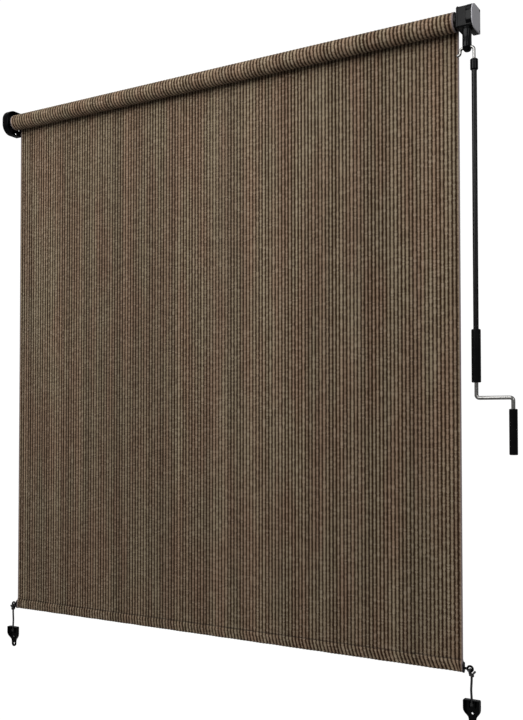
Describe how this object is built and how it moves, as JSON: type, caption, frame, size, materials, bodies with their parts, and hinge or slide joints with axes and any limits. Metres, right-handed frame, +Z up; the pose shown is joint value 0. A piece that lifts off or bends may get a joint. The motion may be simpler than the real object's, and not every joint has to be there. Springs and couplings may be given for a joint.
{
  "type": "outdoor roller shade",
  "caption": "Outdoor roller shade: ribbed knit cloth on a crank-driven roller between wall brackets, with gear box, hanging crank, weighted hem and elastic tie-downs.",
  "frame": {"origin": "on the wall plane at the height of the roller's axis, midway between the four rear screw holes of the two brackets", "axes": "+X along the roller towards the crank end, +Y into the wall, +Z up"},
  "size_m": [1.96, 0.0764, 2.0512],
  "materials": {
    "cloth": "ribbed knit",
    "gloss_black": "gloss",
    "matte_black": "satin",
    "grey_plate": "satin",
    "wire": "bright zinc",
    "steel": "plain",
    "alu": "mill",
    "nylon": "plain",
    "brass": "plain",
    "cord": "braided cover",
    "alu_black": "black anodised"
  },
  "bodies": {
    "frame": {"idler_bracket": "gloss_black", "idler_pin": "steel", "crank_bracket": "gloss_black", "crank_end_plate": "grey_plate", "gear_housing": "matte_black", "gear_cover": "matte_black", "gear_box_screws": "steel", "crank_shaft_bush": "nylon", "thrust_washer": "brass", "brake_spring": "steel", "roller_bush": "nylon", "shade_panel": "cloth"},
    "roller": {"roller_tube": "alu", "drive_plug": "matte_black", "roller_gear": "nylon", "idler_plug": "matte_black", "idler_bush": "nylon", "cloth_spline": "nylon", "plug_screws": "steel", "shade_roll": "cloth"},
    "eye": {"crank_shaft": "steel", "crank_gear": "nylon", "crank_eye": "gloss_black", "eye_pin": "steel"},
    "crank": {"crank_hook": "wire", "hook_collar": "gloss_black", "collar_pin": "steel", "crank_pole": "alu_black", "pole_end_plug": "matte_black", "crank_rod": "wire", "grip_push_nut": "steel"},
    "sleeve": {"pole_sleeve": "matte_black"},
    "grip": {"hand_grip": "matte_black"},
    "hem": {"hem_bar": "alu", "shade_hem": "cloth", "hem_cap_left": "matte_black", "hem_cap_right": "matte_black", "cord_knot_left": "cord", "cord_knot_right": "cord", "tie_cord_left": "cord", "tie_cord_right": "cord", "cord_stop_left": "cord", "cord_stop_right": "cord", "anchor_left": "gloss_black", "anchor_right": "gloss_black"}
  },
  "joints": [
    {"name": "crank_turn", "type": "hinge", "parent": "frame", "child": "eye", "pos_m": [0.89453, -0.056, 0], "axis": [0, 0, 1], "range_deg": [0, 3600]},
    {"name": "roller_turn", "type": "hinge", "parent": "frame", "child": "roller", "pos_m": [0, -0.038, 0], "axis": [1, 0, 0], "range_deg": [-0.5, 3600.5]},
    {"name": "hem_lift", "type": "slide", "parent": "frame", "child": "hem", "axis": [0, 0, 1], "range_m": [-0.0005, 1.78492], "deforming": ["shade_panel"]},
    {"name": "crank_swing", "type": "hinge", "parent": "eye", "child": "crank", "pos_m": [0.89453, -0.056, -0.08805], "axis": [-1, 0, 0], "range_deg": [-3, 75]},
    {"name": "sleeve_turn", "type": "hinge", "parent": "crank", "child": "sleeve", "pos_m": [0.91453, -0.056, 0], "axis": [0, 0, 1], "continuous": true},
    {"name": "grip_turn", "type": "hinge", "parent": "crank", "child": "grip", "pos_m": [1.01653, -0.056, 0], "axis": [0, 0, 1], "continuous": true}
  ],
  "couplings": [
    {"joint": "roller_turn", "follows": "crank_turn", "ratio": 1},
    {"joint": "hem_lift", "follows": "crank_turn", "m_per_rad": 0.0284}
  ]
}
